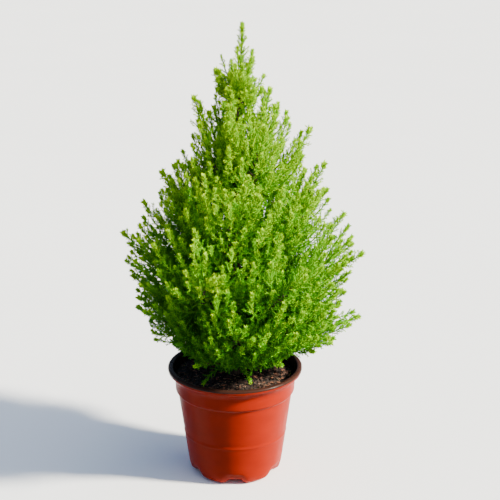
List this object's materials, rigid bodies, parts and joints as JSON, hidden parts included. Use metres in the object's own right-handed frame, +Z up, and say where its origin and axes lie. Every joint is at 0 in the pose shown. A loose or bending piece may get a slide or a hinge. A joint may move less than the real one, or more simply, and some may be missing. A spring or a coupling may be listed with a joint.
{
  "type": "potted lemon cypress",
  "caption": "Small conical lemon cypress with feathery lime foliage, growing in a thin terracotta-coloured plastic pot filled with dark peat.",
  "frame": {"origin": "centre of the pot's flat underside", "axes": "+Z up along the stem, -Y towards the side that faces the viewer, +X to that viewer's right"},
  "size_m": [0.2219, 0.2162, 0.434],
  "materials": {
    "pot": "thin moulded plastic, satin, terracotta outside and black inside",
    "peat": "damp dark peat with bark crumbs",
    "bark": "thin reddish brown bark",
    "foliage": "soft juvenile needles, lime at the tips and darker green inside"
  },
  "bodies": {
    "root": {"bough_lower_1": "bark", "bough_lower_2": "bark", "bough_lower_3": "bark", "bough_lower_4": "bark", "bough_lower_5": "bark", "bough_lower_6": "bark", "bough_middle_1": "bark", "bough_middle_2": "bark", "bough_middle_3": "bark", "bough_middle_4": "bark", "bough_middle_5": "bark", "bough_middle_6": "bark", "bough_skirt_1": "bark", "bough_skirt_2": "bark", "bough_skirt_3": "bark", "bough_skirt_4": "bark", "bough_skirt_5": "bark", "bough_skirt_6": "bark", "bough_upper_1": "bark", "bough_upper_2": "bark", "bough_upper_3": "bark", "bough_upper_4": "bark", "bough_upper_5": "bark", "foliage_leader": "foliage", "foliage_lower_1": "foliage", "foliage_lower_2": "foliage", "foliage_lower_3": "foliage", "foliage_lower_4": "foliage", "foliage_lower_5": "foliage", "foliage_lower_6": "foliage", "foliage_middle_1": "foliage", "foliage_middle_2": "foliage", "foliage_middle_3": "foliage", "foliage_middle_4": "foliage", "foliage_middle_5": "foliage", "foliage_middle_6": "foliage", "foliage_shoulder_1": "foliage", "foliage_shoulder_2": "foliage", "foliage_shoulder_3": "foliage", "foliage_shoulder_4": "foliage", "foliage_skirt_1": "foliage", "foliage_skirt_2": "foliage", "foliage_skirt_3": "foliage", "foliage_skirt_4": "foliage", "foliage_skirt_5": "foliage", "foliage_skirt_6": "foliage", "foliage_upper_1": "foliage", "foliage_upper_2": "foliage", "foliage_upper_3": "foliage", "foliage_upper_4": "foliage", "foliage_upper_5": "foliage", "peat": "peat", "pot": "pot", "trunk": "bark"}
  },
  "joints": []
}
